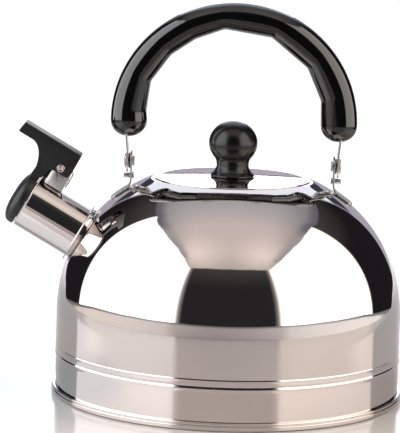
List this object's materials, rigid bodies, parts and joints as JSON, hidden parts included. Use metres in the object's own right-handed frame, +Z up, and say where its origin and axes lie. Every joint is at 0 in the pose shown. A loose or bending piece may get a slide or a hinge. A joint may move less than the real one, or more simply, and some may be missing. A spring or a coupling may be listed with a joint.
{
  "type": "whistling kettle",
  "caption": "Whistling stove-top kettle: domed pressed-metal body, lift-off lid with ball knob, swinging moulded bail handle, short spout closed by a sprung whistle lever.",
  "frame": {"origin": "centre of the flat base, on the surface that the kettle stands on", "axes": "+Z up; the spout points towards -X; the bail handle lies in the XZ plane at rest and swings about an axis along X; millimetres in the source"},
  "size_m": [0.2331, 0.204, 0.2274],
  "materials": {
    "polished_steel": "mirror-polished stainless steel sheet",
    "plain_steel": "plain rolled stainless steel, satin",
    "brass": "turned brass",
    "bakelite": "glossy black moulded phenolic",
    "lever_plastic": "satin black heat-proof moulding"
  },
  "bodies": {
    "root": {"body_shell": "polished_steel", "base_pan": "polished_steel", "spout_tube": "polished_steel", "hinge_bracket": "plain_steel", "hinge_pin": "plain_steel", "hinge_spring": "plain_steel", "ear_left": "plain_steel", "ear_right": "plain_steel", "pivot_washer_left": "lever_plastic", "pivot_washer_right": "lever_plastic", "pivot_rivet_left": "plain_steel", "pivot_rivet_right": "plain_steel", "stop_pin_left": "plain_steel", "stop_pin_right": "plain_steel"},
    "handle": {"handle_grip": "bakelite", "strap_left": "plain_steel", "strap_right": "plain_steel", "strap_screw_left": "plain_steel", "strap_screw_right": "plain_steel"},
    "lid": {"lid_shell": "polished_steel", "lid_skirt": "plain_steel", "lid_knob": "bakelite", "knob_insert": "brass", "knob_screw": "plain_steel", "knob_washer": "plain_steel"},
    "whistle": {"whistle_lever": "lever_plastic", "whistle_cup": "polished_steel", "whistle_disc": "plain_steel"}
  },
  "joints": [
    {"name": "handle_swing", "type": "hinge", "parent": "root", "child": "handle", "pos_m": [0, 0, 0.13435], "axis": [1, 0, 0], "range_deg": [-100, 100]},
    {"name": "lid_lift", "type": "slide", "parent": "root", "child": "lid", "axis": [0, 0, 1], "range_m": [0, 0.045]},
    {"name": "whistle_flip", "type": "hinge", "parent": "root", "child": "whistle", "pos_m": [-0.0988, 0, 0.12945], "axis": [0, 1, 0], "range_deg": [0, 50], "stiffness_Nm_per_rad": 0.06, "springref_deg": -20.05}
  ]
}
